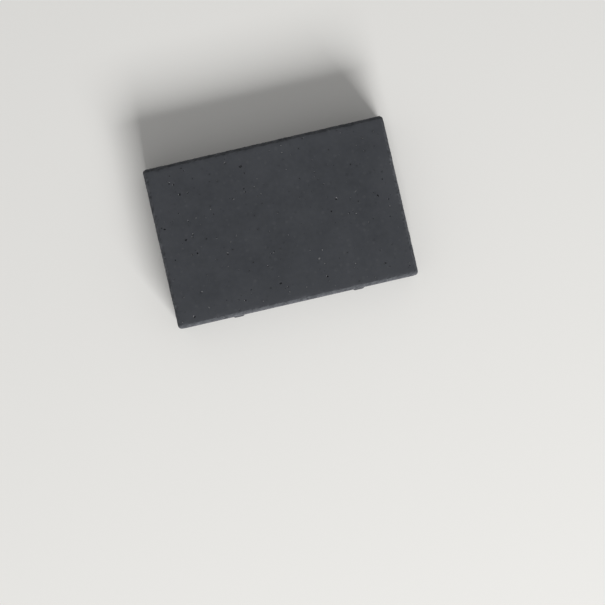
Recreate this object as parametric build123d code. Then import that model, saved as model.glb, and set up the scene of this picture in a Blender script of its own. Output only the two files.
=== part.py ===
"""Ceramic paving tile: one dense block of pressed and fired clay, laid flat with open joints.

The tile lies as it is used. Its bedding face is on the XY plane, its wearing face is up, and the
origin is at the middle of the bedding face. X runs along the long sides. Lengths are millimetres.
"""

import os

from build123d import *

# Laying module, from the middle of one joint to the middle of the next
module_length = 300.0
module_width = 200.0
joint_width = 2.5
tile_thickness = 50.0

# Chamfer all the way round the wearing face
chamfer_width = 3.8
chamfer_depth = 3.6
face_corner_radius = 1.2

# Arrises that the die and the kiln leave soft
wearing_arris_radius = 0.8
bedding_arris_radius = 2.0

# Spacer ribs, two on each side, which meet the neighbour's ribs in the joint
rib_root_width = 13.0
rib_pad_width = 9.0
rib_below_face = 14.0
rib_head_ramp = 7.0
rib_above_bed = 4.0
rib_foot_ramp = 3.0
rib_pad_arris_radius = 0.6
rib_root_radius = 0.8

# Sizes that follow from the ones above
body_length = module_length - joint_width
body_width = module_width - joint_width
body_corner_radius = face_corner_radius + chamfer_width
rib_height = joint_width / 2
rib_bottom = rib_above_bed
rib_top = tile_thickness - rib_below_face

# The ribs stand at the quarter points, so they meet in a half bond and in a plain one
long_side_rib_offset = module_length / 4
short_side_rib_offset = module_width / 4


def pressed_block():
    """The block between its joints: corners, chamfer and arrises, but no ribs."""
    block = extrude(RectangleRounded(body_length, body_width, body_corner_radius), tile_thickness)

    wearing_face = block.faces().sort_by(Axis.Z)[-1]
    block = chamfer(wearing_face.edges(), chamfer_width, chamfer_depth, reference=wearing_face)

    wearing_arris = block.faces().sort_by(Axis.Z)[-1].edges()
    chamfer_foot = tile_thickness - chamfer_depth
    lower_arris = block.edges().filter_by_position(Axis.Z, chamfer_foot, chamfer_foot)
    block = fillet(wearing_arris + lower_arris, wearing_arris_radius)

    bedding_arris = block.faces().sort_by(Axis.Z)[0].edges()
    return fillet(bedding_arris, bedding_arris_radius)


def spacer_rib():
    """One rib on a side that faces -Y, with its root on the XZ plane and its middle at X 0.

    Its plan and its side view are both low trapeziums, and it is what the two have in common.
    """
    plan = Polyline(
        (-rib_root_width / 2, 0),
        (-rib_pad_width / 2, -rib_height),
        (rib_pad_width / 2, -rib_height),
        (rib_root_width / 2, 0),
        close=True,
    )
    side_view = Polyline(
        (0, rib_bottom),
        (-rib_height, rib_bottom + rib_foot_ramp),
        (-rib_height, rib_top - rib_head_ramp),
        (0, rib_top),
        close=True,
    )
    upright = extrude(make_face(plan), tile_thickness)
    across = extrude(make_face(Plane.YZ * side_view), rib_root_width / 2, both=True)
    rib = upright & across

    pad_arrises = rib.edges().filter_by_position(Axis.Y, -rib_height, -rib_height)
    return fillet(pad_arrises, rib_pad_arris_radius)


def rib_places():
    """Where the ribs go: a pair on each side, turned to face out of the tile."""
    places = []
    for turn, half_depth, offset in (
        (0, body_width / 2, long_side_rib_offset),
        (90, body_length / 2, short_side_rib_offset),
        (180, body_width / 2, long_side_rib_offset),
        (270, body_length / 2, short_side_rib_offset),
    ):
        for along in (-offset, offset):
            places.append(Rot(0, 0, turn) * Pos(along, -half_depth, 0))
    return places


def root_edges(solid, axis, half_depth):
    """The edges where ribs leave the two sides that lie across an axis."""
    found = []
    for side in (-half_depth, half_depth):
        on_side = solid.edges().filter_by_position(axis, side, side)
        for edge in on_side.filter_by_position(Axis.Z, rib_bottom, rib_top):
            found.append(edge)
    return found


def paving_tile():
    """The block with its eight ribs, as one solid."""
    rib = spacer_rib()
    tile = pressed_block()
    for place in rib_places():
        tile += place * rib
    roots = root_edges(tile, Axis.Y, body_width / 2) + root_edges(tile, Axis.X, body_length / 2)
    return fillet(roots, rib_root_radius)


tile = paving_tile()
tile.label = "paving_tile"

os.makedirs("parts", exist_ok=True)
export_step(tile, "parts/paving_tile.step")
print("volume", round(tile.volume / 1000, 1), "cm3")
print("size", tile.bounding_box().size)
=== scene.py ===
"""A ceramic paving tile, pressed and fired in one piece, lying on a pale studio floor.

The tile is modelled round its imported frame: the origin is at the middle of the bedding face, X runs
along the long sides and Z is up. Lengths are metres. Run it as a script; each step is an operator,
listed in the 3D view's sidebar.
"""

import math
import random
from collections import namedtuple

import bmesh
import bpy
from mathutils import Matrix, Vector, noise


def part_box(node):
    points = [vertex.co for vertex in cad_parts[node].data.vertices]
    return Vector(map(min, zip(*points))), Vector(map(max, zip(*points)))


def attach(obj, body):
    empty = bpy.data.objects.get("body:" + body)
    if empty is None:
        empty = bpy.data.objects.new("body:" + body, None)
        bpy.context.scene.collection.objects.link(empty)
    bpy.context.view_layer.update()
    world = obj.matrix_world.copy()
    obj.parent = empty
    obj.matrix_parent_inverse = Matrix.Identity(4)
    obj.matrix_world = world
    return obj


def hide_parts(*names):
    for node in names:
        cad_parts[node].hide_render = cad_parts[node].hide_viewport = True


bl_info = {
    "name": "Ceramic paving tile",
    "version": (1, 0, 0),
    "blender": (4, 5, 0),
    "location": "View3D > Sidebar > Paving tile",
    "description": "Models and finishes one pressed and fired paving tile and lays it on a stage",
    "category": "Add Mesh",
}

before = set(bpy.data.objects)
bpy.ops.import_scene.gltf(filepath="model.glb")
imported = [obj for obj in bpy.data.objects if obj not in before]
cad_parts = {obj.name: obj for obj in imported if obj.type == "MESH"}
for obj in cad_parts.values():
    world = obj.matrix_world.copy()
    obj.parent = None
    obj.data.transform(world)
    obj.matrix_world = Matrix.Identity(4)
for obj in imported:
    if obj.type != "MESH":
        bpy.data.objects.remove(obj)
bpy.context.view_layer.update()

MM = 0.001
TILE_NODE = "paving_tile"
LOW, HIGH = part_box(TILE_NODE)
MODULE_LENGTH = HIGH.x - LOW.x
MODULE_WIDTH = HIGH.y - LOW.y
THICKNESS = HIGH.z - LOW.z

# Where the photograph shows the tile, in pixels from the top left corner of its own frame
PHOTO_SIDE_PX = 605
MODULE_LENGTH_PX = 248.9
TILE_CENTRE_PX = (280.5, 222.35)
TILE_TURN_DEGREES = 12.97

# How near a point has to be to a plane to count as on it, how far a softened edge may reach past
# a stretch that it belongs to, and how near two points, or a cut and a point, have to be to merge
NEAR = 0.02 * MM
SLACK = 0.5 * MM
MERGE = 0.06 * MM

# How upright the normal of a level face is at least, what share of a stretch an edge spans where it
# is divided with it, and how many pitches long an edge at the chamfer may stay
UPRIGHT = 0.9
SPAN_SHARE = 0.6
PITCHES_LEFT = 1.5

# Faces that turn into one another by less than this are shaded as one
SMOOTH_ANGLE = math.radians(35)

# The clays, by their place in the tile's material slots
FACE, SIDE, BED, PORE, GRAIN, BROKEN = range(6)


def linear(hex_colour):
    """An sRGB hex colour, such as #404246, as linear red, green, blue and alpha."""
    channels = []
    for start in (1, 3, 5):
        value = int(hex_colour[start:start + 2], 16) / 255
        channels.append(value / 12.92 if value <= 0.04045 else ((value + 0.055) / 1.055) ** 2.4)
    return (*channels, 1.0)


def length_property(name, description, default):
    """A length in metres that a user may change."""
    return bpy.props.FloatProperty(
        name=name, description=description, default=default, min=0.0, precision=5,
        subtype="DISTANCE", unit="LENGTH",
    )


def colour_property(name, description, hex_colour):
    """A colour that a user may change."""
    return bpy.props.FloatVectorProperty(
        name=name, description=description, default=linear(hex_colour), size=4, min=0.0, max=1.0,
        subtype="COLOR",
    )


class TileShape(bpy.types.PropertyGroup):
    """The sizes of the pressed body."""

    joint_width: length_property("Joint", "Gap that the ribs keep, twice their height", 2.5 * MM)
    chamfer_width: length_property("Chamfer width", "Seen from above", 3.8 * MM)
    chamfer_depth: length_property("Chamfer depth", "Seen from the side", 3.6 * MM)
    face_corner_radius: length_property("Face corner", "Radius inside the chamfer", 1.2 * MM)
    wearing_arris: length_property("Wearing arris", "Radius at both chamfer edges", 0.8 * MM)
    bedding_arris: length_property("Bedding arris", "Radius at the underside", 2.0 * MM)
    rib_root_width: length_property("Rib root", "Width of a rib at the side", 13.0 * MM)
    rib_pad_width: length_property("Rib pad", "Width of a rib at its pad", 9.0 * MM)
    rib_below_face: length_property("Rib below face", "From the face to a rib's head", 14.0 * MM)
    rib_head_ramp: length_property("Rib head ramp", "Height of the slope at the head", 7.0 * MM)
    rib_above_bed: length_property("Rib above bed", "From the bed to a rib's foot", 4.0 * MM)
    rib_foot_ramp: length_property("Rib foot ramp", "Height of the slope at the foot", 3.0 * MM)
    rib_pad_arris: length_property("Rib pad arris", "Radius round a rib's pad", 0.6 * MM)
    rib_root_fillet: length_property("Rib root fillet", "Radius where a rib leaves the side", 0.8 * MM)
    arris_reach: length_property("Arris reach", "How far from an arris its wear goes", 3.2 * MM)
    face_reach: length_property("Face reach", "How far into the face that wear goes", 2.0 * MM)
    worn_stretch: length_property("Worn stretch", "Of an arris, between two sound ones", 16.0 * MM)
    bed_reach: length_property("Bed reach", "How far from the bed the sides stay true", 3.0 * MM)
    mesh_pitch: length_property("Mesh pitch", "Longest edge of the fine mesh", 2.0 * MM)
    arris_pitch: length_property("Arris pitch", "The same at the chamfer", 0.7 * MM)


class TileFinish(bpy.types.PropertyGroup):
    """The colours and the wear of the fired clay."""

    clay_dark: colour_property("Dark clay", "Deepest tone of the fired face", "#313337")
    clay_light: colour_property("Light clay", "Palest tone of the fired face", "#414347")
    clay_rubbed: colour_property("Rubbed clay", "Deepest tone of the chamfer", "#34363A")
    clay_nibbled: colour_property("Nibbled clay", "Palest tone of the chamfer", "#525458")
    clay_broken: colour_property("Broken clay", "Tone of chips and worn arrises", "#5C5D61")
    side_dust: colour_property("Side dust", "Palest tone of the sides and the bed", "#4A4B4F")
    # Colour of the pale sand grains, and also of a painted highlight: the pale speck beside each
    # pinhole of the face, for a pit's lit wall
    sand_grain_and_highlight: colour_property("Sand grain", "Pale grains in the surface", "#767778")
    # Pore colour: stain, and painted shade as well, for the dark inside the pinholes and the pits
    pore: colour_property("Pore", "Inside of the pits and pinholes", "#131416")
    cloud_size: length_property("Cloud size", "Width of the largest uneven patches of tone", 80 * MM)
    nibble_size: length_property("Nibble size", "Length of the longest breaks along an arris", 12 * MM)
    # The real grain is too fine to show, so it is drawn as coarse as it needs to be
    grain_size: length_property("Grain size", "Width of the grain as it is drawn", 2 * MM)
    streak_size: length_property("Streak size", "Width of the die's drag marks", 1.6 * MM)
    speck_size: length_property("Speck size", "Radius of the largest sand grain or pinhole", 0.95 * MM)
    sand_spacing: length_property("Sand spacing", "Between two sand grains", 7.5 * MM)
    pinhole_spacing: length_property("Pinhole spacing", "Between two pinholes", 7 * MM)
    roughness: bpy.props.FloatProperty(
        name="Roughness", description="Of the unglazed face", default=0.66,
        min=0.0, max=1.0, subtype="FACTOR",
    )
    specular: bpy.props.FloatProperty(
        name="Specular", description="Level of the unglazed face's sheen", default=0.15,
        min=0.0, max=1.0, subtype="FACTOR",
    )
    seed: bpy.props.IntProperty(name="Seed", description="Chooses where the pits fall", default=7)


class StageSettings(bpy.types.PropertyGroup):
    """The floor, the light and the lens."""

    floor_colour: colour_property("Floor", "Pale studio floor", "#E4E3E0")
    skylight: bpy.props.FloatProperty(
        name="Skylight", description="Even light from all round, where 1 is plain daylight",
        default=0.35, min=0.0,
    )
    softbox_share: bpy.props.FloatProperty(
        name="Softbox", description="What the softbox adds on a level face, on the same scale",
        default=0.65, min=0.0,
    )
    softbox_height: bpy.props.FloatProperty(
        name="Softbox height", description="Angle of the softbox above the floor",
        default=math.radians(26), subtype="ANGLE", unit="ROTATION",
    )
    softbox_turn: bpy.props.FloatProperty(
        name="Softbox turn", description="How far the softbox stands to the right of the front",
        default=math.radians(10), subtype="ANGLE", unit="ROTATION",
    )
    lens: bpy.props.FloatProperty(
        name="Lens", description="Focal length in millimetres", default=85.0, subtype="DISTANCE_CAMERA",
    )


# Picking and cutting in edit mode

def select_only(*pieces):
    """Selects these pieces and no others, the first as the active one."""
    bpy.ops.object.select_all(action="DESELECT")
    for piece in pieces:
        piece.select_set(True)
    bpy.context.view_layer.objects.active = pieces[0]


def pick(tile, kind, wanted):
    """Selects the faces or the edges that pass a test of their place, and nothing else."""
    bpy.ops.mesh.select_mode(type="FACE" if kind == "faces" else "EDGE")
    bpy.ops.mesh.select_all(action="DESELECT")
    mesh = bmesh.from_edit_mesh(tile.data)
    for part in getattr(mesh, kind):
        if wanted(part):
            part.select_set(True)
    mesh.select_flush_mode()
    bmesh.update_edit_mesh(tile.data)


def ends(edge):
    """The two ends of an edge."""
    return edge.verts[0].co, edge.verts[1].co


def at_height(height):
    """A test for edges that lie level at a height."""
    return lambda edge: all(abs(end.z - height) < NEAR for end in ends(edge))


def along_axis(axis, length):
    """A step of a length along an axis."""
    step = Vector((0, 0, 0))
    step[axis] = length
    return step


def slice_across(axis, place):
    """Cuts the whole mesh along a plane across an axis, through the points that it nearly meets."""
    bpy.ops.mesh.select_all(action="SELECT")
    bpy.ops.mesh.bisect(
        plane_co=along_axis(axis, place), plane_no=along_axis(axis, 1), threshold=MERGE)


def divide_stretch(tile, axis, low, high, pitch):
    """Divides the long edges between two planes across an axis into steps no longer than the pitch."""
    steps = math.ceil((high - low) / pitch)
    if steps < 2:
        return

    def spans(edge):
        first, last = sorted(end[axis] for end in ends(edge))
        inside = low - SLACK < first and last < high + SLACK
        return inside and last - first > SPAN_SHARE * (high - low)

    pick(tile, "edges", spans)
    bpy.ops.mesh.subdivide(number_cuts=steps - 1)


# The pressed body

def half_sides(shape):
    """Half the length and half the width of the body, without its ribs."""
    return (MODULE_LENGTH - shape.joint_width) / 2, (MODULE_WIDTH - shape.joint_width) / 2


def corner_radius(shape):
    """The radius of the body's upright corners, outside the chamfer."""
    return shape.face_corner_radius + shape.chamfer_width


def chamfer_slope(shape):
    """The angle between the chamfer and the wearing face."""
    return math.atan2(shape.chamfer_depth, shape.chamfer_width)


def tangent(radius, turn):
    """How far a soft edge reaches along the two faces that it joins, which turn by an angle."""
    return radius * math.tan(turn / 2)


def pressed_block(shape):
    """A cube becomes the block: rounded corners, a chamfered wearing face and soft arrises."""
    half_length, half_width = half_sides(shape)
    slope = chamfer_slope(shape)
    foot = THICKNESS - shape.chamfer_depth
    bpy.ops.object.select_all(action="DESELECT")
    bpy.ops.mesh.primitive_cube_add(
        size=1, location=(0, 0, foot / 2), scale=(2 * half_length, 2 * half_width, foot))
    tile = bpy.context.active_object
    tile.name = tile.data.name = "fired_tile"
    bpy.ops.object.transform_apply(location=True, rotation=True, scale=True)

    bpy.ops.object.mode_set(mode="EDIT")
    pick(tile, "edges", lambda edge: abs(ends(edge)[0].z - ends(edge)[1].z) > foot / 2)
    bpy.ops.mesh.bevel(offset=corner_radius(shape), segments=6, profile=0.5, affect="EDGES")
    pick(tile, "faces", lambda face: face.normal.z > UPRIGHT)
    bpy.ops.mesh.inset(thickness=shape.chamfer_width, depth=shape.chamfer_depth, use_even_offset=True)
    for height, reach, segments in (
        (THICKNESS, tangent(shape.wearing_arris, slope), 2),
        (foot, tangent(shape.wearing_arris, math.pi / 2 - slope), 2),
        (0, shape.bedding_arris, 4),
    ):
        pick(tile, "edges", at_height(height))
        bpy.ops.mesh.bevel(offset=reach, segments=segments, profile=0.5, affect="EDGES")
    return tile


def rib_sides(shape):
    """Each side of the tile: the axis across it, the way it faces, its place and its ribs' offset."""
    half_length, half_width = half_sides(shape)
    return [
        (axis, facing, half_depth, offset)
        for axis, half_depth, offset in (
            (1, half_width, MODULE_LENGTH / 4),
            (0, half_length, MODULE_WIDTH / 4),
        )
        for facing in (-1, 1)
    ]


def spacer_ribs(tile, shape):
    """Draws the eight ribs out of the sides, slopes them to their pads and softens their edges."""
    foot = shape.rib_above_bed
    head = THICKNESS - shape.rib_below_face
    height = shape.joint_width / 2
    pad_foot = foot + shape.rib_foot_ramp
    pad_head = head - shape.rib_head_ramp
    half_root = shape.rib_root_width / 2
    flank_turn = math.atan2(height, half_root - shape.rib_pad_width / 2)

    for level in (foot, head):
        slice_across(2, level)
    for axis, offset in ((0, MODULE_LENGTH / 4), (1, MODULE_WIDTH / 4)):
        for middle in (-offset, offset):
            slice_across(axis, middle - half_root)
            slice_across(axis, middle + half_root)

    for axis, facing, half_depth, offset in rib_sides(shape):
        along = 1 - axis
        for middle in (-offset, offset):
            def is_root(face):
                centre = face.calc_center_median()
                return (
                    abs(centre[axis] - facing * half_depth) < NEAR
                    and abs(centre[along] - middle) < half_root
                    and foot < centre.z < head
                )

            pick(tile, "faces", is_root)
            outward = along_axis(axis, facing * height)
            bpy.ops.mesh.extrude_region_move(TRANSFORM_OT_translate={"value": outward})
            taper = Vector((1, 1, (pad_head - pad_foot) / (head - foot)))
            taper[along] = shape.rib_pad_width / shape.rib_root_width
            centre = Vector((0, 0, (head + foot) / 2))
            centre[axis] = facing * (half_depth + height)
            centre[along] = middle
            bpy.ops.transform.resize(value=taper, center_override=centre)
            lift = (pad_head + pad_foot - head - foot) / 2
            bpy.ops.transform.translate(value=(0, 0, lift))

    def is_pad_edge(edge):
        return any(
            all(abs(end[axis] - facing * (half_depth + height)) < NEAR for end in ends(edge))
            for axis, facing, half_depth, offset in rib_sides(shape)
        )

    def is_root_edge(edge):
        start, end = ends(edge)
        middle = (start + end) / 2
        if not foot - NEAR < middle.z < head + NEAR:
            return False
        for axis, facing, half_depth, offset in rib_sides(shape):
            on_side = all(abs(point[axis] - facing * half_depth) < NEAR for point in (start, end))
            across = abs(abs(middle[1 - axis]) - offset)
            level = abs(start.z - end.z) < NEAR
            if on_side and (across < half_root - NEAR if level else across < half_root + NEAR):
                return True
        return False

    for is_edge, radius in ((is_pad_edge, shape.rib_pad_arris), (is_root_edge, shape.rib_root_fillet)):
        pick(tile, "edges", is_edge)
        reach = tangent(radius, flank_turn)
        bpy.ops.mesh.bevel(offset=reach, segments=2, profile=0.5, affect="EDGES")


def fine_mesh(tile, shape):
    """Divides the faces evenly, and the chamfer finer, so that the relief has something to move."""
    half_root = shape.rib_root_width / 2
    for axis, module, half in zip((0, 1), (MODULE_LENGTH, MODULE_WIDTH), half_sides(shape)):
        corner = half - corner_radius(shape)
        slice_across(axis, -corner)
        slice_across(axis, corner)
        marks = [-corner, -module / 4 - half_root, -module / 4 + half_root]
        marks += [-mark for mark in reversed(marks)]
        for low, high in zip(marks, marks[1:]):
            divide_stretch(tile, axis, low, high, shape.mesh_pitch)

    foot = THICKNESS - shape.chamfer_depth
    wall_top = foot - tangent(shape.wearing_arris, math.pi / 2 - chamfer_slope(shape))
    head = THICKNESS - shape.rib_below_face
    for low, high in ((shape.rib_above_bed, head), (head, wall_top), (foot, THICKNESS)):
        divide_stretch(tile, 2, low, high, shape.mesh_pitch)
    bpy.ops.mesh.select_all(action="SELECT")
    bpy.ops.mesh.remove_doubles(threshold=MERGE)

    def is_long_at_chamfer(edge):
        start, end = ends(edge)
        middle = (start + end) / 2
        return (
            edge.calc_length() > PITCHES_LEFT * shape.arris_pitch
            and inset_of(middle, shape) < shape.chamfer_width + shape.face_reach
            and THICKNESS - middle.z < shape.chamfer_depth + shape.arris_reach
        )

    pick(tile, "edges", is_long_at_chamfer)
    cuts = math.ceil(shape.mesh_pitch / shape.arris_pitch) - 1
    bpy.ops.mesh.subdivide(number_cuts=cuts)


# Relief, pits and chips

# The lumps of the wear lie in rows, which are turned off the sides so that none runs along an arris
LUMPS_TURN = math.radians(27)

# The share of the full wear that an arris has: the middle of its swing, the swing and its least
WORN_MIDDLE = 0.75
WORN_SWING = 0.9
WORN_LEAST = 0.2

# A pit or a chip: its middle, the way it faces, its radius, its depth as a share of that, its clay
Hollow = namedtuple("Hollow", "point normal radius flatness clay")

# How many hollows of a kind are wanted, and their smallest and largest radius in millimetres
Kind = namedtuple("Kind", "count smallest largest")
FACE_PITS = Kind(95, 0.5, 2.0)
BED_PITS = Kind(60, 0.6, 2.0)
SIDE_PITS = Kind(60, 0.5, 1.5)
UPPER_CHIPS = Kind(70, 0.8, 2.0)
LOWER_CHIPS = Kind(80, 0.9, 2.8)
PIT_FLATNESS = (0.5, 0.85)
CHIP_FLATNESS = 0.45

# How far the hollows stay from the outline of the face and of the bed, from a side's ends and from
# its ribs, and between which heights in millimetres a side has its pits
FACE_BORDER = 7 * MM
BED_BORDER = 8 * MM
SIDE_BORDER = 9 * MM
RIB_BORDER = 2 * MM
SIDE_PIT_HEIGHTS = (6, 42)

# How many are drawn at most for each that is wanted, the clay that stays between two, and how far
# out of the surface the middle of one lies, as a share of its depth
TRIES = 4
HOLLOW_GAP = 0.8 * MM
PRESS_LIFT = 0.2

# The ball that presses a hollow: how far its points move in and out, and its breadth, as shares of
# its radius
BALL_DENTS = (0.8, 1.12)
BALL_BREADTH = (0.55, 1.0)

# What share of the face's pits has a grain of sand left in it, and how far off the middle that
# starts, as a share of the radius
GRAIN_SHARE = 0.65
GRAIN_START = 0.3


def inset_of(point, shape):
    """How far inside the block's outline a point lies, seen from above."""
    half_length, half_width = half_sides(shape)
    radius = corner_radius(shape)
    past_x = abs(point.x) - half_length + radius
    past_y = abs(point.y) - half_width + radius
    outside = math.hypot(max(past_x, 0), max(past_y, 0)) + min(max(past_x, past_y), 0) - radius
    return -outside


def weigh(tile, name, weight_at):
    """Fills a vertex group with the weight that each vertex's place gives."""
    group = tile.vertex_groups.new(name=name)
    for vertex in tile.data.vertices:
        weight = weight_at(vertex.co)
        if weight > 0:
            group.add([vertex.index], min(weight, 1.0), "REPLACE")


def wear_down(tile, group, grain, depth, *, contrast=1.0, spared=0.0, stretch=1.0):
    """Sinks the surface unevenly, by up to a depth, in lumps of a grain's size, drawn out upwards.

    A contrast over 1 makes the lumps distinct, and what is spared stays where it was between them.
    """
    lumps = bpy.data.textures.new("lumps", type="CLOUDS")
    lumps.noise_scale = grain
    lumps.noise_depth = 2
    lumps.contrast = contrast
    lumps.intensity = 1 + spared
    lumps.use_clamp = True
    gauge = bpy.data.objects.new("gauge", None)
    gauge.rotation_euler.z = LUMPS_TURN
    gauge.scale.z = stretch
    bpy.context.collection.objects.link(gauge)
    bpy.ops.object.modifier_add(type="DISPLACE")
    wear = tile.modifiers[-1]
    wear.texture = lumps
    wear.texture_coords = "OBJECT"
    wear.texture_coords_object = gauge
    wear.vertex_group = group
    wear.mid_level = 1.0
    wear.strength = depth
    bpy.ops.object.modifier_apply(modifier=wear.name)
    bpy.data.textures.remove(lumps)
    bpy.data.objects.remove(gauge)


def fired_relief(tile, shape):
    """Warps the face and the sides a little, drags the sides upwards and rubs the arrises uneven.

    The bed and the ribs' pads, which other things rest on, stay true. The wear of the arrises comes
    and goes along them, and it reaches less far into the face than down the chamfer.
    """
    foot = THICKNESS - shape.chamfer_depth
    rib_height = shape.joint_width / 2

    def near_arris(point):
        inset = inset_of(point, shape)
        into_face = inset - shape.chamfer_width
        if into_face > 0:
            into_face *= shape.arris_reach / shape.face_reach
        to_top = math.hypot(into_face, point.z - THICKNESS)
        to_foot = math.hypot(inset, point.z - foot)
        worn = WORN_MIDDLE + WORN_SWING * noise.noise(point / shape.worn_stretch)
        return (1 - min(to_top, to_foot) / shape.arris_reach) * min(max(worn, WORN_LEAST), 1)

    def off_bed_and_pads(point):
        below_pad = 1 + min(inset_of(point, shape), 0) / rib_height
        return min(point.z / shape.bed_reach, below_pad)

    def on_sides(point):
        if inset_of(point, shape) > NEAR:
            return 0
        return min(off_bed_and_pads(point), (foot - point.z) / shape.bed_reach)

    weigh(tile, "sides", on_sides)
    weigh(tile, "arrises", near_arris)
    weigh(tile, "faces", off_bed_and_pads)
    wear_down(tile, "sides", grain=4 * MM, depth=0.12 * MM, stretch=14)
    wear_down(tile, "faces", grain=55 * MM, depth=0.2 * MM)
    wear_down(tile, "faces", grain=7 * MM, depth=0.08 * MM)
    wear_down(tile, "arrises", grain=9 * MM, depth=0.55 * MM, contrast=2.4, spared=0.3)
    wear_down(tile, "arrises", grain=3.4 * MM, depth=0.9 * MM, contrast=2.4, spared=0.3)
    wear_down(tile, "arrises", grain=1.7 * MM, depth=0.6 * MM, contrast=2.0, spared=0.2)


def scatter(kind, draw_one):
    """Draws hollows until there are enough, and leaves out each that would run into another."""
    hollows = []
    for attempt in range(kind.count * TRIES):
        if len(hollows) == kind.count:
            break
        new = draw_one()
        if all(
            (new.point - old.point).length > new.radius + old.radius + HOLLOW_GAP
            for old in hollows
        ):
            hollows.append(new)
    return hollows


def hollow_places(shape, seed):
    """Where the pits in the surfaces and the chips in the arrises are, and how large."""
    dice = random.Random(seed)
    half = Vector(half_sides(shape))
    foot = THICKNESS - shape.chamfer_depth
    chamfer_rise = math.atan2(shape.chamfer_width, shape.chamfer_depth)

    def size(kind):
        """Mostly small, and now and then a large one."""
        return (kind.smallest + (kind.largest - kind.smallest) * dice.random() ** 2) * MM

    def pit_on_level(height, facing, border, radius):
        point = Vector((
            dice.uniform(-half.x + border, half.x - border),
            dice.uniform(-half.y + border, half.y - border),
            height,
        ))
        return Hollow(point, Vector((0, 0, facing)), radius, dice.uniform(*PIT_FLATNESS), PORE)

    def on_side(inset, height, rise, radius, flatness, clay):
        """On a side drawn by its length, at an inset and a height, facing up by the rise."""
        axis = 1 if dice.random() < half.x / (half.x + half.y) else 0
        facing = dice.choice((-1, 1))
        point = Vector((0, 0, height))
        point[axis] = facing * (half[axis] - inset)
        point[1 - axis] = dice.uniform(-1, 1) * (half[1 - axis] - SIDE_BORDER)
        normal = Vector((0, 0, math.sin(rise)))
        normal[axis] = facing * math.cos(rise)
        return Hollow(point, normal, radius, flatness, clay)

    def clear_of_ribs(hollow):
        x, y = abs(hollow.point.x), abs(hollow.point.y)
        along = x - MODULE_LENGTH / 4 if x < half.x - NEAR else y - MODULE_WIDTH / 4
        return abs(along) > shape.rib_root_width / 2 + RIB_BORDER

    def face_pit():
        return pit_on_level(THICKNESS, 1, FACE_BORDER, size(FACE_PITS))

    def bed_pit():
        return pit_on_level(0, -1, BED_BORDER, size(BED_PITS))

    def side_pit():
        height = dice.uniform(*SIDE_PIT_HEIGHTS) * MM
        return on_side(0, height, 0, size(SIDE_PITS), dice.uniform(*PIT_FLATNESS), PORE)

    def upper_chip():
        rise = (chamfer_rise + math.pi / 2) / 2
        return on_side(
            shape.chamfer_width, THICKNESS, rise, size(UPPER_CHIPS), CHIP_FLATNESS, BROKEN)

    def lower_chip():
        return on_side(0, foot, chamfer_rise / 2, size(LOWER_CHIPS), CHIP_FLATNESS, BROKEN)

    side_pits = [hollow for hollow in scatter(SIDE_PITS, side_pit) if clear_of_ribs(hollow)]
    pits = scatter(FACE_PITS, face_pit) + scatter(BED_PITS, bed_pit) + side_pits
    return pits + scatter(UPPER_CHIPS, upper_chip) + scatter(LOWER_CHIPS, lower_chip)


def open_hollows(tile, hollows, seed):
    """Cuts the hollows out of the tile, each a squashed ball pressed into the surface."""
    dice = random.Random(seed)
    bpy.ops.object.select_all(action="DESELECT")
    bpy.ops.mesh.primitive_ico_sphere_add(subdivisions=2, radius=1, location=(0, 0, 0))
    ball = bpy.context.active_object
    for clay in tile.data.materials:
        ball.data.materials.append(clay)
    presses = []
    for hollow in hollows:
        press = ball.copy()
        press.data = ball.data.copy()
        bpy.context.collection.objects.link(press)
        has_grain = hollow.normal.z == 1 and dice.random() < GRAIN_SHARE
        for polygon in press.data.polygons:
            in_grain = has_grain and polygon.center.x > GRAIN_START
            polygon.material_index = GRAIN if in_grain else hollow.clay
        for vertex in press.data.vertices:
            vertex.co *= dice.uniform(*BALL_DENTS)
        turn = hollow.normal.to_track_quat("Z", "Y").to_matrix().to_4x4()
        spin = Matrix.Rotation(dice.uniform(0, math.tau) if hollow.clay == PORE else 0, 4, "Z")
        depth = hollow.radius * hollow.flatness
        breadth = hollow.radius * dice.uniform(*BALL_BREADTH)
        squash = Matrix.Diagonal((hollow.radius, breadth, depth, 1))
        place = Matrix.Translation(hollow.point + hollow.normal * depth * PRESS_LIFT)
        press.data.transform(place @ turn @ spin @ squash)
        presses.append(press)
    bpy.data.objects.remove(ball)
    select_only(*presses)
    bpy.ops.object.join()
    cutter = bpy.context.active_object

    select_only(tile)
    bpy.ops.object.modifier_add(type="BOOLEAN")
    cut = tile.modifiers[-1]
    cut.operation = "DIFFERENCE"
    cut.solver = "MANIFOLD"
    cut.object = cutter
    bpy.ops.object.modifier_apply(modifier=cut.name)
    bpy.data.objects.remove(cutter)


# Materials

# From where in from the sides the face turns paler, and from where it is palest
PALER_FROM = 38 * MM
PALEST_FROM = 4 * MM

# How far the chamfer's tone wanders over its edges, and where it starts and is full, past the inner
# edge and past the foot
RAGGED_REACH = 2 * MM
RUBBED_FROM = 0.5 * MM
RUBBED_FULL = -0.3 * MM
BROKEN_FROM = -0.9 * MM
BROKEN_FULL = 0.1 * MM

# How far out of the sides their rub starts and is full, and how far below the chamfer it ends
PAD_RUB_FROM = 0.5 * MM
PAD_RUB_FULL = 1.2 * MM
FOOT_RUB_REACH = 1.6 * MM

# How many times smaller than the face's the patches of tone are, how close the sides' pinholes are
# as a share of the face's, and how wide a drag mark is as a share of its length
SIDE_PATCHES = 3
COARSE_PATCHES = 2
SIDE_PINHOLES = 0.8
DRAWN_OUT = 0.05

# How much wider than a speck the faint patch round it is, and how far its outline is pushed about,
# in radii of the largest
SPECK_PATCH = 3
SPECK_PUSH = 2

# How far the roughness swings with the grain, how far on the drier sides, and the highest
ROUGHNESS_SWING = 0.06
DRY_SWING = 0.14
ROUGHEST = 0.95


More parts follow.
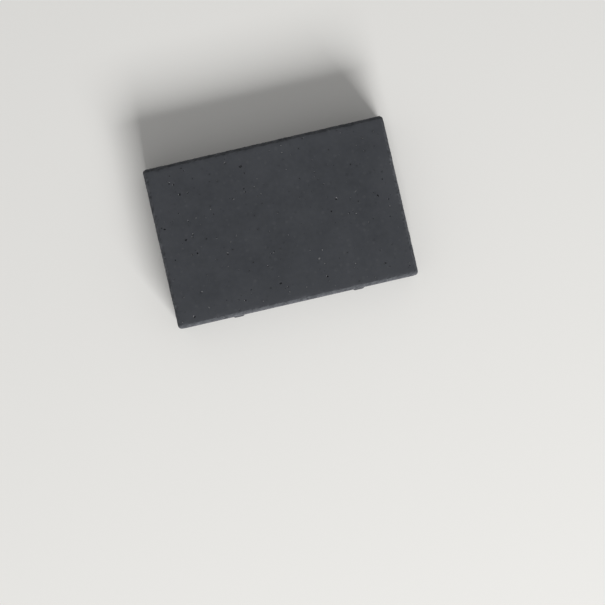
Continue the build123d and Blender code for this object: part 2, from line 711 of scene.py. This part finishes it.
def add_node(tree, kind, settings=None, links=None):
    """Adds a node, sets its settings and the values of its inputs, and links its inputs.

    An input goes by its name, or by its identifier where several share a name. It is linked to an
    output, or to the first live output of a node.
    """
    node = tree.nodes.new(kind)
    values = {}
    for name, value in (settings or {}).items():
        if hasattr(node, name):
            setattr(node, name, value)
        else:
            values[name] = value
    inputs = {}
    for socket in reversed(node.inputs):
        inputs[socket.name] = inputs[socket.identifier] = socket
    for name, value in values.items():
        inputs[name].default_value = value
    for name, source in (links or {}).items():
        if isinstance(source, bpy.types.Node):
            source = next(output for output in source.outputs if output.enabled)
        tree.links.new(source, inputs[name])
    return node


def start_material(name):
    """An empty material, its tree, and the object coordinates that its patterns follow."""
    material = bpy.data.materials.new(name)
    material.use_nodes = True
    tree = material.node_tree
    tree.nodes.clear()
    place = add_node(tree, "ShaderNodeTexCoord").outputs["Object"]
    return material, tree, place


def fire(tree, finish, colour, roughness, relief):
    """Joins a clay's colour, roughness and relief to its shader: unglazed, with hardly any sheen."""
    shader = add_node(
        tree, "ShaderNodeBsdfPrincipled", {"IOR": 1.5, "Specular IOR Level": finish.specular},
        {"Base Color": colour, "Roughness": roughness, "Normal": relief})
    add_node(tree, "ShaderNodeOutputMaterial", links={"Surface": shader})


def jostled(tree, place, reach):
    """Object coordinates pushed about by up to a reach, so that what is drawn on them is ragged."""
    push = add_node(tree, "ShaderNodeTexNoise", {"Scale": 1 / reach, "Detail": 2}, {"Vector": place})
    centred = add_node(
        tree, "ShaderNodeVectorMath", {"operation": "SUBTRACT", "Vector_001": (0.5, 0.5, 0.5)},
        {"Vector": push.outputs["Color"]})
    return add_node(
        tree, "ShaderNodeVectorMath",
        {"operation": "MULTIPLY_ADD", "Vector_001": (reach, reach, reach)},
        {"Vector": centred, "Vector_002": place})


def specks(tree, place, spacing, radius, strength=1.0):
    """A mask of specks in the clay, a spacing apart: of up to a radius, and the small ones faint."""
    cells = add_node(tree, "ShaderNodeTexVoronoi", {"Scale": 1 / spacing}, {"Vector": place})
    chance = add_node(tree, "ShaderNodeSeparateColor", links={"Color": cells.outputs["Color"]})
    inside = add_node(
        tree, "ShaderNodeMath", {"operation": "MULTIPLY_ADD", "Value_001": -spacing / radius},
        {"Value": cells.outputs["Distance"], "Value_002": chance.outputs["Red"]})
    return add_node(
        tree, "ShaderNodeMapRange", {"From Min": 0, "From Max": 0.5, "To Max": strength},
        {"Value": inside})


def two_toned(tree, pattern, low, high, dark, light):
    """A clay that is dark where a pattern is low, and light where it is high."""
    tone = add_node(
        tree, "ShaderNodeMapRange", {"From Min": low, "From Max": high}, {"Value": pattern})
    return add_node(
        tree, "ShaderNodeMix", {"data_type": "RGBA", "A_Color": dark, "B_Color": light},
        {"Factor": tone})


def grained(tree, place, finish, *, detail, roughness_range, height, under=None):
    """A clay's grain: the roughness that it gives, and its relief on top of any under it."""
    lowest, highest = roughness_range
    grain = add_node(
        tree, "ShaderNodeTexNoise",
        {"Scale": 1 / finish.grain_size, "Detail": detail, "Roughness": 0.8}, {"Vector": place})
    roughness = add_node(
        tree, "ShaderNodeMapRange",
        {"From Min": 0.3, "From Max": 0.7, "To Min": lowest, "To Max": highest}, {"Value": grain})
    links = {"Height": grain}
    if under:
        links["Normal"] = under
    relief = add_node(tree, "ShaderNodeBump", {"Strength": 1.0, "Distance": height}, links)
    return roughness, relief


def ways_in(tree, place, shape):
    """How far a point of the surface is inside the tile's sides, and how far below its top."""
    limits = (*half_sides(shape), THICKNESS)
    reach = add_node(tree, "ShaderNodeVectorMath", {"operation": "ABSOLUTE"}, {"Vector": place})
    inside = add_node(
        tree, "ShaderNodeVectorMath", {"operation": "SUBTRACT", "Vector": limits},
        {"Vector_001": reach})
    ways = add_node(tree, "ShaderNodeSeparateXYZ", links={"Vector": inside})
    inset = add_node(
        tree, "ShaderNodeMath", {"operation": "MINIMUM"},
        {"Value": ways.outputs["X"], "Value_001": ways.outputs["Y"]})
    return inset, ways.outputs["Z"]


def clouded_face(tree, place, inset, finish):
    """The pressed face's tone: faint clouds, and a little paler towards the chamfer."""
    patches = add_node(
        tree, "ShaderNodeTexNoise", {"Scale": 1 / finish.cloud_size, "Detail": 4, "Roughness": 0.9},
        {"Vector": place})
    clay = two_toned(tree, patches, 0.2, 0.8, finish.clay_dark, finish.clay_light)
    border = add_node(
        tree, "ShaderNodeMapRange",
        {"interpolation_type": "SMOOTHSTEP", "From Min": PALER_FROM, "From Max": PALEST_FROM,
         "To Max": 0.3},
        {"Value": inset})
    return add_node(
        tree, "ShaderNodeMix", {"data_type": "RGBA", "B_Color": finish.clay_light},
        {"A_Color": clay, "Factor": border})


def rubbed_chamfer(tree, place, inset, depth, clay, shape, finish):
    """Lays the chamfer's uneven tone over a clay, with a ragged inner edge and a broken foot."""
    nibbles = add_node(
        tree, "ShaderNodeTexNoise", {"Scale": 1 / finish.nibble_size, "Detail": 5, "Roughness": 0.75},
        {"Vector": place})
    ragged = add_node(
        tree, "ShaderNodeMath",
        {"operation": "MULTIPLY_ADD", "Value_001": 2 * RAGGED_REACH, "Value_002": -RAGGED_REACH},
        {"Value": nibbles})
    rubbed_clay = two_toned(tree, nibbles, 0.38, 0.65, finish.clay_rubbed, finish.clay_nibbled)

    def past_edge(way_in, edge, start, full):
        """A mask of what lies past an edge, whose place wanders with the nibbles."""
        wandering = add_node(
            tree, "ShaderNodeMath", {"operation": "ADD"}, {"Value": way_in, "Value_001": ragged})
        return add_node(
            tree, "ShaderNodeMapRange", {"From Min": edge + start, "From Max": edge + full},
            {"Value": wandering})

    on_chamfer = past_edge(inset, shape.chamfer_width, RUBBED_FROM, RUBBED_FULL)
    at_foot = past_edge(depth, shape.chamfer_depth, BROKEN_FROM, BROKEN_FULL)
    clay = add_node(
        tree, "ShaderNodeMix", {"data_type": "RGBA"},
        {"A_Color": clay, "B_Color": rubbed_clay, "Factor": on_chamfer})
    return add_node(
        tree, "ShaderNodeMix", {"data_type": "RGBA", "B_Color": finish.clay_broken},
        {"A_Color": clay, "Factor": at_foot})


def pressed_face_clay(shape, finish):
    """Stained body clay, pressed against a smooth die and fired without a glaze.

    It gives the eye a close, matt, faintly cloudy grey, a little paler towards the chamfer, with rubbed
    arrises, faint sand patches, and pinholes that are dark dots of painted shade and stain, each with a
    pale speck beside it as a painted highlight of its lit wall.
    """
    material, tree, place = start_material("pressed_fired_clay")
    inset, depth = ways_in(tree, place, shape)
    clay = clouded_face(tree, place, inset, finish)
    clay = rubbed_chamfer(tree, place, inset, depth, clay, shape, finish)

    # Beside each pinhole a pale speck in the sand colour is a painted highlight that stands in for the
    # lit far wall of a pit, and the pinhole itself is a dark dot of painted shade as well as stain
    ragged_place = jostled(tree, place, finish.speck_size * SPECK_PUSH)
    painted_highlight_place = jostled(tree, ragged_place, finish.pinhole_spacing)
    sand = specks(tree, painted_highlight_place, finish.pinhole_spacing, finish.speck_size)
    pinholes = specks(tree, ragged_place, finish.pinhole_spacing, finish.speck_size)
    patch = finish.speck_size * SPECK_PATCH
    for colour, mask in (
        (finish.sand_grain_and_highlight, specks(tree, ragged_place, finish.sand_spacing, patch, strength=0.05)),
        (finish.pore, specks(tree, ragged_place, finish.pinhole_spacing, patch, strength=0.16)),
        (finish.sand_grain_and_highlight, sand),
        (finish.pore, pinholes),
    ):
        clay = add_node(
            tree, "ShaderNodeMix", {"data_type": "RGBA", "B_Color": colour},
            {"A_Color": clay, "Factor": mask})

    roughness, relief = grained(
        tree, place, finish, detail=3, height=0.06 * MM,
        roughness_range=(finish.roughness - ROUGHNESS_SWING, finish.roughness + ROUGHNESS_SWING))
    relief = add_node(
        tree, "ShaderNodeBump", {"Strength": 1.0, "Distance": 0.3 * MM, "invert": True},
        {"Height": pinholes, "Normal": relief})
    fire(tree, finish, clay, roughness, relief)
    return material


def dragged_side_clay(shape, finish):
    """The same clay where the die dragged along it as the tile was pushed out.

    It gives the eye fine upright scratches in a drier, dustier grey than the face, and pads that are
    rubbed a little paler.
    """
    material, tree, place = start_material("die_dragged_fired_clay")
    inset, depth = ways_in(tree, place, shape)

    drawn_out = add_node(tree, "ShaderNodeMapping", {"Scale": (1, 1, DRAWN_OUT)}, {"Vector": place})
    streaks = add_node(
        tree, "ShaderNodeTexNoise", {"Scale": 1 / finish.streak_size, "Detail": 4, "Roughness": 0.7},
        {"Vector": drawn_out})
    patches = add_node(
        tree, "ShaderNodeTexNoise",
        {"Scale": SIDE_PATCHES / finish.cloud_size, "Detail": 5, "Roughness": 0.9}, {"Vector": place})
    both = add_node(
        tree, "ShaderNodeMix", {"data_type": "FLOAT", "Factor": 0.4},
        {"A_Float": patches, "B_Float": streaks})
    clay = two_toned(tree, both, 0.32, 0.7, finish.clay_dark, finish.side_dust)

    # The rub is broken up by the same patches, so that no pad or arris has an even tone
    on_pads = add_node(
        tree, "ShaderNodeMapRange", {"From Min": -PAD_RUB_FROM, "From Max": -PAD_RUB_FULL},
        {"Value": inset})
    at_foot = add_node(
        tree, "ShaderNodeMapRange",
        {"From Min": shape.chamfer_depth + FOOT_RUB_REACH, "From Max": shape.chamfer_depth},
        {"Value": depth})
    exposed = add_node(
        tree, "ShaderNodeMath", {"operation": "MAXIMUM"}, {"Value": on_pads, "Value_001": at_foot})
    bitten = add_node(
        tree, "ShaderNodeMapRange",
        {"From Min": 0.42, "From Max": 0.62, "To Min": 0.0, "To Max": 0.3}, {"Value": patches})
    rubbed = add_node(
        tree, "ShaderNodeMath", {"operation": "MULTIPLY"}, {"Value": exposed, "Value_001": bitten})
    ragged_place = jostled(tree, place, finish.speck_size * SPECK_PUSH)
    sand = specks(tree, ragged_place, finish.sand_spacing, finish.speck_size, strength=0.6)
    # The pinholes are dark dots in the pore colour: painted shade of a hole, as well as its stain
    pinholes = specks(
        tree, ragged_place, finish.pinhole_spacing * SIDE_PINHOLES, finish.speck_size)
    for colour, mask in (
        (finish.clay_broken, rubbed),
        (finish.sand_grain_and_highlight, sand),
        (finish.pore, pinholes),
    ):
        clay = add_node(
            tree, "ShaderNodeMix", {"data_type": "RGBA", "B_Color": colour},
            {"A_Color": clay, "Factor": mask})

    drag_marks = add_node(
        tree, "ShaderNodeBump", {"Strength": 1.0, "Distance": 0.15 * MM}, {"Height": streaks})
    roughness, relief = grained(
        tree, place, finish, detail=3, height=0.2 * MM, under=drag_marks,
        roughness_range=(finish.roughness, finish.roughness + DRY_SWING))
    relief = add_node(
        tree, "ShaderNodeBump", {"Strength": 1.0, "Distance": 0.4 * MM, "invert": True},
        {"Height": pinholes, "Normal": relief})
    fire(tree, finish, clay, roughness, relief)
    return material


def coarse_clay(name, finish, dark, light, *, sand_spacing, grain_height):
    """Rough fired clay: two tones in patches, with sand in it and a grain that stands out.

    The spacing of its sand is a share of the face's.
    """
    material, tree, place = start_material(name)
    patches = add_node(
        tree, "ShaderNodeTexNoise",
        {"Scale": COARSE_PATCHES / finish.cloud_size, "Detail": 6, "Roughness": 0.75},
        {"Vector": place})
    clay = two_toned(tree, patches, 0.35, 0.65, dark, light)
    ragged_place = jostled(tree, place, finish.speck_size * SPECK_PUSH)
    sand = specks(
        tree, ragged_place, finish.sand_spacing * sand_spacing, finish.speck_size, strength=0.6)
    clay = add_node(
        tree, "ShaderNodeMix", {"data_type": "RGBA", "B_Color": finish.sand_grain_and_highlight},
        {"A_Color": clay, "Factor": sand})
    roughness, relief = grained(
        tree, place, finish, detail=4, height=grain_height,
        roughness_range=(finish.roughness + ROUGHNESS_SWING, ROUGHEST))
    fire(tree, finish, clay, roughness, relief)
    return material


def dress(tile, shape, finish):
    """Makes the clays, and gives each face of the mesh the one of the surface that it lies on."""
    tile.data.materials.clear()
    for clay in (
        pressed_face_clay(shape, finish),
        dragged_side_clay(shape, finish),
        # Where it stood on sand in the kiln: a coarse, dry, grainy underside with paler patches
        coarse_clay(
            "sand_bedded_fired_clay", finish, finish.clay_dark, finish.side_dust,
            sand_spacing=0.6, grain_height=0.5 * MM),
        # The inside of the open pores: the same clay, dark with shade and stain
        coarse_clay(
            "open_pore_fired_clay", finish, finish.pore, finish.clay_dark,
            sand_spacing=0.3, grain_height=0.1 * MM),
        # A grain of temper left in a pore: pale sand, grey with clay where it is half covered
        coarse_clay(
            "sand_tempered_fired_clay", finish, finish.clay_broken, finish.sand_grain_and_highlight,
            sand_spacing=0.3, grain_height=0.1 * MM),
        # Small chips: the body's broken grain, a little paler than the pressed skin
        coarse_clay(
            "chipped_fired_clay", finish, finish.clay_rubbed, finish.clay_broken,
            sand_spacing=0.3, grain_height=0.2 * MM),
    ):
        tile.data.materials.append(clay)
    slope = math.hypot(1 / shape.chamfer_width, 1 / shape.chamfer_depth)
    for polygon in tile.data.polygons:
        inset = inset_of(polygon.center, shape)
        depth = THICKNESS - polygon.center.z
        to_chamfer = (inset / shape.chamfer_width + depth / shape.chamfer_depth - 1) / slope
        distances = {FACE: min(depth, to_chamfer), SIDE: inset, BED: polygon.center.z}
        polygon.material_index = min(distances, key=distances.get)


# Stage

# The floor: its side, where it begins and ends to fade into the sky, how far under the bed it lies,
# and how near to it a ray has to start to go through it
FLOOR_SIDE = 40.0
FADE_START = 0.6
FADE_END = 1.8
FLOOR_GAP = 0.05 * MM
CLEAR_REACH = 0.4 * MM

SOFTBOX_DISTANCE = 8.0
SOFTBOX_WIDTH = 4.4
SOFTBOX_HEIGHT = 2.6

# In millimetres, as the lens
SENSOR_WIDTH = 36


def studio_world(stage):
    """An even sky that lights the tile, and a pale one where the camera or a reflection sees it."""
    world = bpy.data.worlds.new("studio_sky")
    world.use_nodes = True
    tree = world.node_tree
    tree.nodes.clear()
    rays = add_node(tree, "ShaderNodeLightPath")
    seen = rays.outputs["Is Camera Ray"]
    for kind in ("Is Glossy Ray", "Is Transmission Ray"):
        seen = add_node(
            tree, "ShaderNodeMath", {"operation": "MAXIMUM"},
            {"Value": seen, "Value_001": rays.outputs[kind]})
    light = (stage.skylight, stage.skylight, stage.skylight, 1)
    colour = add_node(
        tree, "ShaderNodeMix", {"data_type": "RGBA", "A_Color": light, "B_Color": stage.floor_colour},
        {"Factor": seen})
    sky = add_node(tree, "ShaderNodeBackground", {"Strength": 1.0}, {"Color": colour})
    add_node(tree, "ShaderNodeOutputWorld", links={"Surface": sky})
    return world


def studio_floor(stage):
    """A plain floor under the tile's bed, clear to a camera below it so that the bed can be seen."""
    bpy.ops.object.select_all(action="DESELECT")
    bpy.ops.mesh.primitive_plane_add(size=FLOOR_SIDE, location=(0, 0, LOW.z - FLOOR_GAP))
    floor = bpy.context.active_object
    floor.name = floor.data.name = "studio_floor"
    # Matt paint on board: an even, pale, shineless ground that takes the tile's shadow, and that
    # fades into the pale sky far from the tile, where only the camera sees it
    paint, tree, place = start_material("matt_studio_paint")
    shader = add_node(
        tree, "ShaderNodeBsdfPrincipled",
        {"Base Color": stage.floor_colour, "Roughness": 0.9, "Specular IOR Level": 0.1})
    distance = add_node(tree, "ShaderNodeVectorMath", {"operation": "LENGTH"}, {"Vector": place})
    far_off = add_node(
        tree, "ShaderNodeMapRange",
        {"interpolation_type": "SMOOTHSTEP", "From Min": FADE_START, "From Max": FADE_END},
        {"Value": distance})
    rays = add_node(tree, "ShaderNodeLightPath")
    faded = add_node(
        tree, "ShaderNodeMath", {"operation": "MULTIPLY"},
        {"Value": far_off, "Value_001": rays.outputs["Is Camera Ray"]})
    sky = add_node(tree, "ShaderNodeEmission", {"Color": stage.floor_colour})
    surface = add_node(
        tree, "ShaderNodeMixShader", links={"Fac": faded, "Shader": shader, "Shader_001": sky})

    # So that the bed is lit: rays that start in the gap under it go through the floor
    start_near = add_node(
        tree, "ShaderNodeMath", {"operation": "LESS_THAN", "Value_001": CLEAR_REACH},
        {"Value": rays.outputs["Ray Length"]})
    geometry = add_node(tree, "ShaderNodeNewGeometry")
    clear = add_node(
        tree, "ShaderNodeMath", {"operation": "MAXIMUM"},
        {"Value": start_near, "Value_001": geometry.outputs["Backfacing"]})
    glass = add_node(tree, "ShaderNodeBsdfTransparent")
    surface = add_node(
        tree, "ShaderNodeMixShader", links={"Fac": clear, "Shader": surface, "Shader_001": glass})
    add_node(tree, "ShaderNodeOutputMaterial", links={"Surface": surface})
    floor.data.materials.append(paint)


def softbox(stage):
    """A wide soft lamp low in front of the tile, strong enough for its share of plain daylight."""
    level = SOFTBOX_DISTANCE * math.cos(stage.softbox_height)
    place = Vector((
        level * math.sin(stage.softbox_turn),
        -level * math.cos(stage.softbox_turn),
        THICKNESS + SOFTBOX_DISTANCE * math.sin(stage.softbox_height),
    ))
    aim = (Vector((0, 0, THICKNESS)) - place).to_track_quat("-Z", "Y")
    bpy.ops.object.light_add(type="AREA", location=place, rotation=aim.to_euler())
    lamp = bpy.context.active_object
    lamp.name = "softbox"
    lamp.data.shape = "RECTANGLE"
    lamp.data.size = SOFTBOX_WIDTH
    lamp.data.size_y = SOFTBOX_HEIGHT
    facing_light = stage.softbox_share * math.pi / math.sin(stage.softbox_height)
    lamp.data.energy = facing_light * math.pi * SOFTBOX_DISTANCE ** 2


def overhead_camera(shape, stage):
    """Looks straight down, as far off and as far aside as the photograph's frame needs.

    The photograph's scale is that of the outline at the chamfer's foot.
    """
    pixel = MODULE_LENGTH / MODULE_LENGTH_PX
    bpy.ops.object.camera_add()
    camera = bpy.context.active_object
    camera.name = "overhead_camera"
    camera.data.sensor_width = SENSOR_WIDTH
    camera.data.lens = stage.lens
    turn = Matrix.Rotation(-math.radians(TILE_TURN_DEGREES), 3, "Z")
    middle = PHOTO_SIDE_PX / 2
    aside = Vector((middle - TILE_CENTRE_PX[0], TILE_CENTRE_PX[1] - middle, 0)) * pixel
    distance = camera.data.lens / camera.data.sensor_width * PHOTO_SIDE_PX * pixel
    foot = THICKNESS - shape.chamfer_depth
    camera.location = turn @ aside + Vector((0, 0, foot + distance))
    camera.rotation_euler = turn.to_euler()
    bpy.context.scene.camera = camera


# Operators and panel

class PAVING_OT_fired_tile(bpy.types.Operator):
    """Models the pressed and fired tile, with its ribs, relief, pits and chips"""

    bl_idname = "paving.fired_tile"
    bl_label = "Fired tile"

    def execute(self, context):
        shape = context.scene.tile_shape
        finish = context.scene.tile_finish
        tile = pressed_block(shape)
        spacer_ribs(tile, shape)
        fine_mesh(tile, shape)
        bpy.ops.object.mode_set(mode="OBJECT")
        dress(tile, shape, finish)
        fired_relief(tile, shape)
        open_hollows(tile, hollow_places(shape, finish.seed), finish.seed)
        bpy.ops.object.shade_smooth_by_angle(angle=SMOOTH_ANGLE)
        bpy.ops.object.modifier_add(type="WEIGHTED_NORMAL")
        tile.modifiers[-1].keep_sharp = True
        bpy.ops.object.modifier_apply(modifier=tile.modifiers[-1].name)
        tile.vertex_groups.clear()
        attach(tile, "root")
        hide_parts(TILE_NODE)
        return {"FINISHED"}


class PAVING_OT_stage(bpy.types.Operator):
    """Lays the floor, hangs the softbox and sets up the overhead camera"""

    bl_idname = "paving.stage"
    bl_label = "Stage"

    def execute(self, context):
        stage = context.scene.tile_stage
        context.scene.view_settings.view_transform = "Standard"
        context.scene.world = studio_world(stage)
        studio_floor(stage)
        softbox(stage)
        overhead_camera(context.scene.tile_shape, stage)
        return {"FINISHED"}


class PAVING_PT_tile(bpy.types.Panel):
    """Lists the steps, with the sizes and colours that each uses"""

    bl_idname = "PAVING_PT_tile"
    bl_label = "Paving tile"
    bl_space_type = "VIEW_3D"
    bl_region_type = "UI"
    bl_category = "Paving tile"

    def draw(self, context):
        scene = context.scene
        for operator, groups in (
            (PAVING_OT_fired_tile, (scene.tile_shape, scene.tile_finish)),
            (PAVING_OT_stage, (scene.tile_stage,)),
        ):
            box = self.layout.box()
            box.operator(operator.bl_idname)
            for group in groups:
                for name in group.__annotations__:
                    box.prop(group, name)


CLASSES = (TileShape, TileFinish, StageSettings, PAVING_OT_fired_tile, PAVING_OT_stage, PAVING_PT_tile)


def register():
    for cls in CLASSES:
        bpy.utils.register_class(cls)
    bpy.types.Scene.tile_shape = bpy.props.PointerProperty(type=TileShape)
    bpy.types.Scene.tile_finish = bpy.props.PointerProperty(type=TileFinish)
    bpy.types.Scene.tile_stage = bpy.props.PointerProperty(type=StageSettings)


def unregister():
    del bpy.types.Scene.tile_stage
    del bpy.types.Scene.tile_finish
    del bpy.types.Scene.tile_shape
    for cls in reversed(CLASSES):
        bpy.utils.unregister_class(cls)


def main():
    register()
    bpy.ops.paving.fired_tile()
    bpy.ops.paving.stage()


if __name__ == "__main__":
    main()
